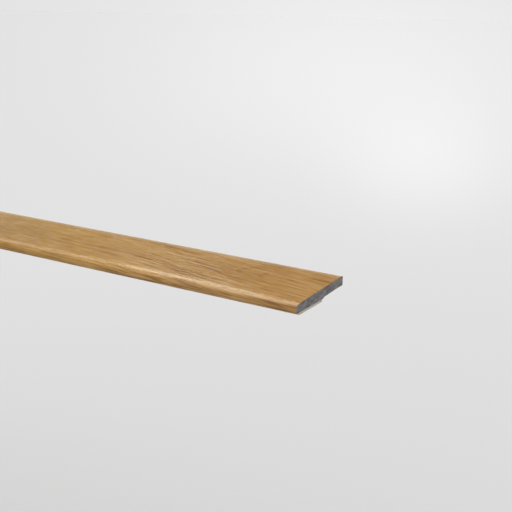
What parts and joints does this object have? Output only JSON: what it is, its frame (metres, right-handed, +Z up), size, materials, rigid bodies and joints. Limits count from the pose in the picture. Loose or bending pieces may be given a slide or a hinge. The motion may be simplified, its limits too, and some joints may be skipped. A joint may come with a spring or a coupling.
{
  "type": "threshold strip",
  "caption": "Flat self-adhesive threshold strip: wood-decor film wrapped over a rigid grey bar, foam tape under the front, and a free lip behind that laps over a thin floor covering.",
  "frame": {"origin": "centre of the release liner's underside level (the floor plane), midway between the ends and midway between nose and lip", "axes": "+X along the strip towards the end with the pull tab, +Y across it from the rounded nose to the lip, +Z up from the floor"},
  "size_m": [0.9, 0.0401, 0.0063],
  "materials": {
    "core": "matte",
    "decor": "satin",
    "foam": "matte",
    "adhesive": "gloss",
    "liner": "satin"
  },
  "bodies": {
    "strip": {"core_bar": "core", "decor_film": "decor", "upper_adhesive": "adhesive", "foam_tape": "foam", "lower_adhesive": "adhesive"},
    "liner": {"release_liner": "liner"},
    "pull_tab": {"liner_pull_tab": "liner"}
  },
  "joints": [
    {"name": "liner_lift", "type": "slide", "parent": "strip", "child": "liner", "axis": [0, 0, -1], "range_m": [0, 0.03]},
    {"name": "tab_peel", "type": "hinge", "parent": "liner", "child": "pull_tab", "pos_m": [0.41, -0.00787, 0], "axis": [0, 1, 0], "range_deg": [0, 165]}
  ]
}
